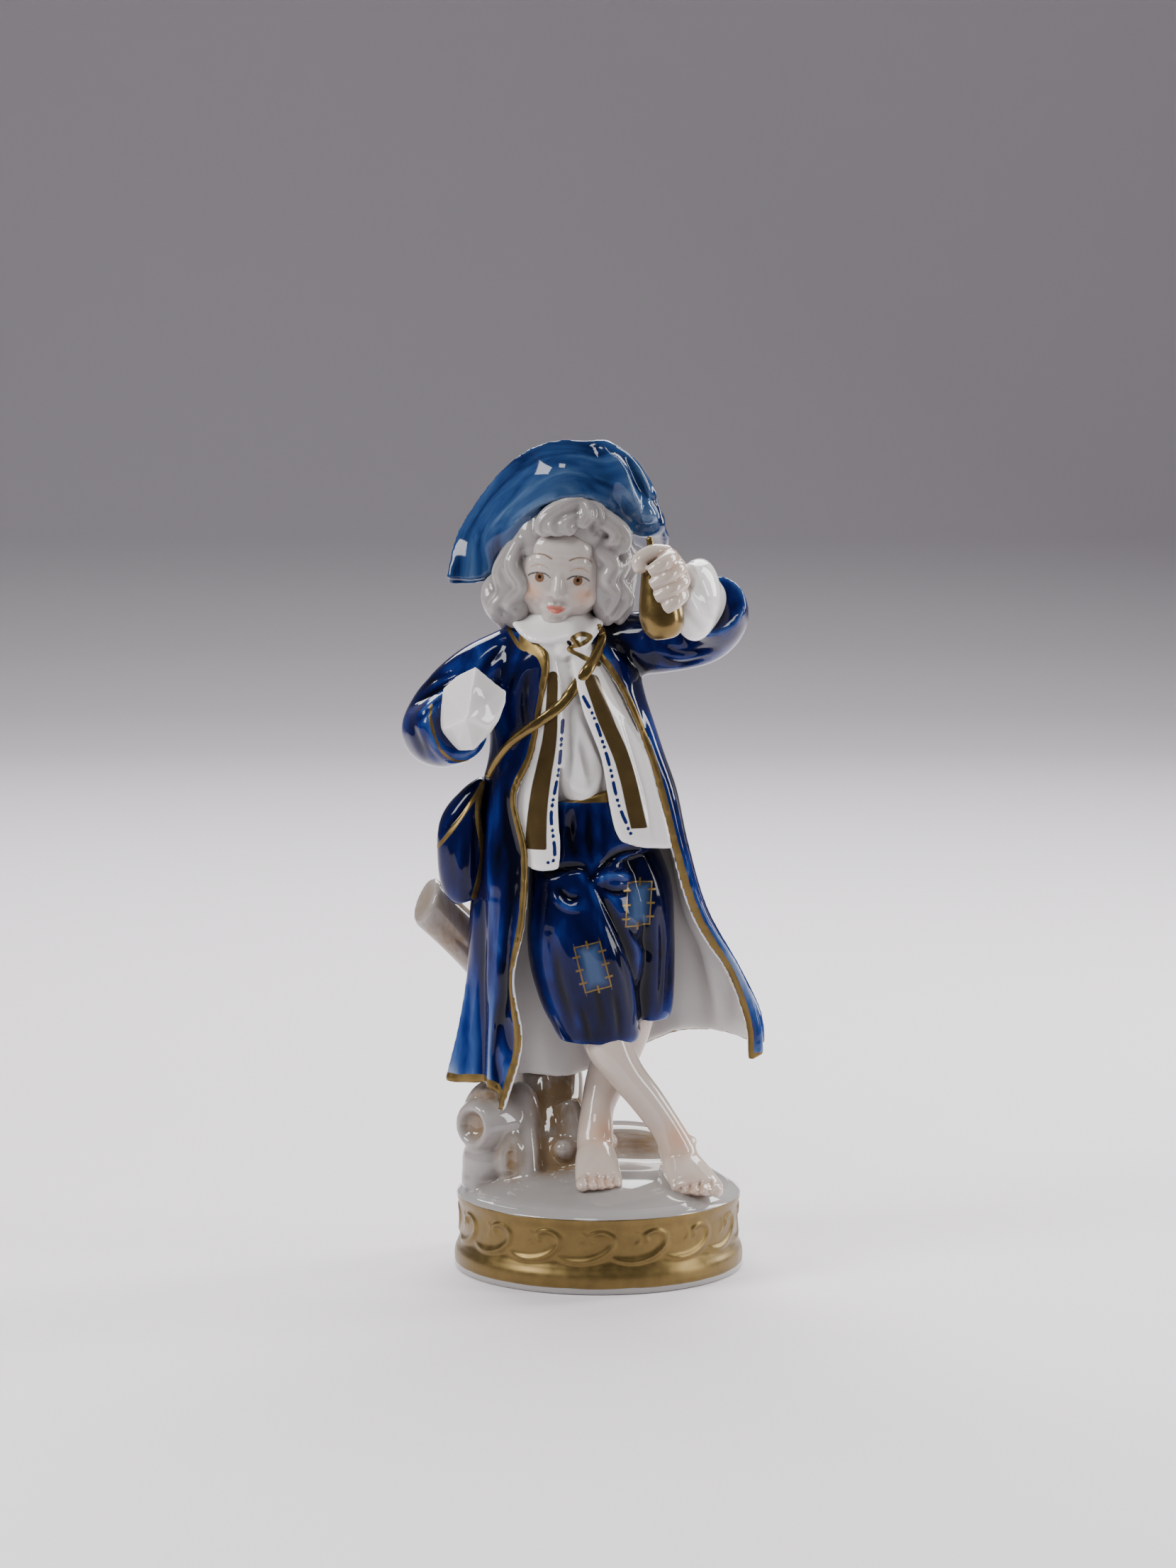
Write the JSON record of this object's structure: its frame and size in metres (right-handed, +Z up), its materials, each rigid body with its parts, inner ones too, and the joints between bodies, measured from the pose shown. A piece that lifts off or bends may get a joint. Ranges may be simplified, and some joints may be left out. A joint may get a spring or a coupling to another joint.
{
  "type": "porcelain boy figurine",
  "caption": "Glazed porcelain figurine of a barefoot boy in a floppy hat and long open coat, holding up a pear, on a round gilded base.",
  "frame": {"origin": "middle of the base's flat underside", "axes": "+Z up, -Y the way the boy faces, +X the boy's left side"},
  "size_m": [0.0661, 0.0532, 0.1532],
  "materials": {
    "porcelain": null
  },
  "bodies": {
    "root": {"boy_figurine": "porcelain"}
  },
  "joints": []
}
